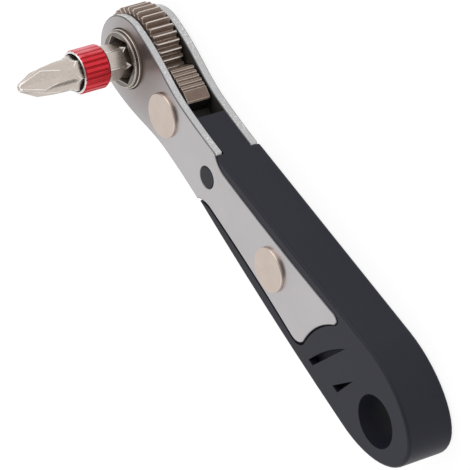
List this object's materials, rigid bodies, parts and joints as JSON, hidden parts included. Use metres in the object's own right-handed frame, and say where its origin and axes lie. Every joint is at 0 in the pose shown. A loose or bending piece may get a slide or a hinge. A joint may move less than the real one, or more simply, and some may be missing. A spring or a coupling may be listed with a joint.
{
  "type": "right-angle ratchet wrench",
  "caption": "Flat right-angle ratchet wrench: riveted steel plates hold a toothed drive wheel and a reversing pawl, with a moulded handle and a cross-point bit in the hex socket.",
  "frame": {"origin": "middle of the tool's box, on the plane of the rear rivet heads that it lies on", "axes": "+X from the drive wheel to the handle's tail, +Z along the bit from the socket to the point"},
  "size_m": [0.1132, 0.0216, 0.0347],
  "materials": {
    "plate": "satin nickel plate, bright cut edges",
    "moulding": "fine satin charcoal moulding",
    "sintered": "dark bronze-grey sintered steel, bright on the tooth tips",
    "rivet": "warm champagne nickel",
    "steel": "bright bare steel",
    "bit": "warm satin nickel",
    "anodised": "red anodised, bare rims"
  },
  "bodies": {
    "frame": {"front_plate": "plate", "rear_plate": "plate", "handle": "moulding", "pawl_bush": "steel", "pawl_rivet": "rivet", "handle_rivet": "rivet", "detent_spring": "steel"},
    "wheel": {"ratchet_wheel": "sintered", "bit_retaining_ring": "steel"},
    "pawl": {"reversing_pawl": "sintered"},
    "detent": {"detent_ball": "steel"},
    "bit": {"driver_bit": "bit"},
    "sleeve": {"bit_sleeve": "anodised"}
  },
  "joints": [
    {"name": "wheel_spin", "type": "hinge", "parent": "frame", "child": "wheel", "pos_m": [-0.0469, -0.00095, 0.00555], "axis": [0, 0, 1], "continuous": true},
    {"name": "pawl_rock", "type": "hinge", "parent": "frame", "child": "pawl", "pos_m": [-0.03175, -0.00095, 0.00555], "axis": [0, 0, 1], "range_deg": [-16, 0]},
    {"name": "detent_slide", "type": "slide", "parent": "frame", "child": "detent", "axis": [1, 0, 0], "range_m": [-0.0003, 0.0004], "stiffness_N_per_m": 2800, "deforming": ["detent_spring"]},
    {"name": "bit_pull", "type": "slide", "parent": "wheel", "child": "bit", "axis": [0, 0, 1], "range_m": [0, 0.012]},
    {"name": "sleeve_slide", "type": "slide", "parent": "bit", "child": "sleeve", "axis": [0, 0, 1], "range_m": [-0.004, 0.006]}
  ]
}
